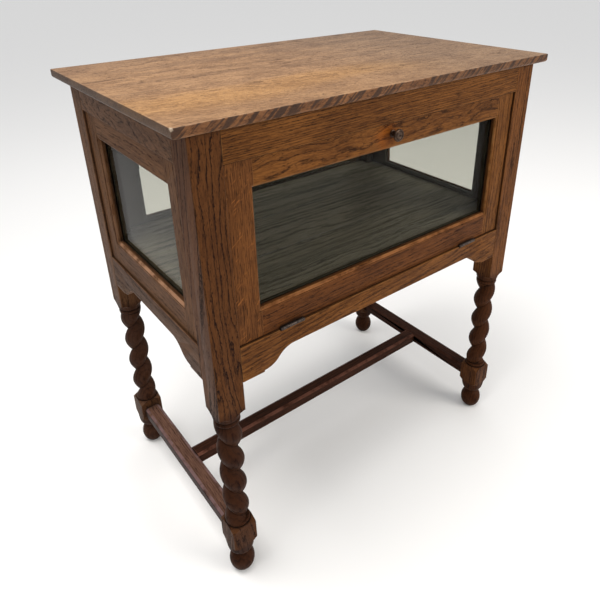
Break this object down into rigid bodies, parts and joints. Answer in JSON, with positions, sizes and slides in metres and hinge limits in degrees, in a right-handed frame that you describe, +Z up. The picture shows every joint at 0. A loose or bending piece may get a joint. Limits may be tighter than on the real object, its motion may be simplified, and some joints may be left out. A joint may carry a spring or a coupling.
{
  "type": "display case",
  "caption": "Glazed oak display case with a drop-down glazed front and turn knob, on rope-twist legs joined by an H stretcher.",
  "frame": {"origin": "on the ground under the middle of the top", "axes": "+Z up, the glazed drop front faces -Y, +X to the right as seen from behind it towards +Y"},
  "size_m": [0.76, 0.472, 0.857],
  "materials": {
    "oak_case": "aged brown stain, satin, open pores along the grain",
    "oak_flap": "golden brown stain, satin, bold figure",
    "oak_top": "lighter faded brown, satin",
    "oak_legs": "dark red brown, low sheen",
    "floor_boards": "dark stain, slightly glossy",
    "inner_softwood": "unfinished softwood, darkened with age",
    "bevelled_glass": "clear plate glass with a bevelled edge",
    "hinge_iron": "dark browned iron, worn",
    "screw_steel": "old plain steel",
    "knob_bronze": "dark patinated bronze",
    "latch_steel": "dark plain steel"
  },
  "bodies": {
    "case": {"leg_front_left": "oak_legs", "leg_front_right": "oak_legs", "leg_back_left": "oak_legs", "leg_back_right": "oak_legs", "top_board_front": "oak_top", "top_board_middle": "oak_top", "top_board_back": "oak_top", "top_rail_front": "oak_case", "top_rail_back": "oak_case", "top_rail_left": "oak_case", "top_rail_right": "oak_case", "apron_front": "oak_case", "apron_back": "oak_case", "apron_left": "oak_case", "apron_right": "oak_case", "stretcher_left": "oak_legs", "stretcher_right": "oak_legs", "stretcher_centre": "oak_legs", "left_stile_front": "oak_case", "left_stile_back": "oak_case", "left_frame_top_rail": "oak_case", "left_frame_bottom_rail": "oak_case", "left_glass": "bevelled_glass", "left_beads": "oak_case", "right_stile_front": "oak_case", "right_stile_back": "oak_case", "right_frame_top_rail": "oak_case", "right_frame_bottom_rail": "oak_case", "right_glass": "bevelled_glass", "right_beads": "oak_case", "back_stile_left": "oak_case", "back_stile_right": "oak_case", "back_frame_top_rail": "oak_case", "back_frame_bottom_rail": "oak_case", "back_glass": "bevelled_glass", "back_beads": "oak_case", "hinge_left_apron_leaf": "hinge_iron", "hinge_right_apron_leaf": "hinge_iron", "hinge_pins": "hinge_iron", "hinge_apron_screws": "screw_steel", "latch_keeper": "latch_steel", "keeper_screws": "screw_steel", "floor_board_front": "floor_boards", "floor_board_middle": "floor_boards", "floor_board_back": "floor_boards", "floor_bearers": "inner_softwood", "glue_blocks": "inner_softwood"},
    "flap": {"flap_stile_left": "oak_flap", "flap_stile_right": "oak_flap", "flap_top_rail": "oak_flap", "flap_bottom_rail": "oak_flap", "flap_glass": "bevelled_glass", "flap_beads": "oak_flap", "hinge_left_flap_leaf": "hinge_iron", "hinge_right_flap_leaf": "hinge_iron", "hinge_flap_screws": "screw_steel"},
    "latch": {"knob": "knob_bronze", "latch_tongue": "latch_steel", "latch_nut": "latch_steel"}
  },
  "joints": [
    {"name": "flap_hinge", "type": "hinge", "parent": "case", "child": "flap", "pos_m": [0, -0.22275, 0.50675], "axis": [1, 0, 0], "range_deg": [0, 175]},
    {"name": "knob_turn", "type": "hinge", "parent": "flap", "child": "latch", "pos_m": [-0.007, -0.2095, 0.775], "axis": [0, -1, 0], "range_deg": [0, 90]}
  ]
}
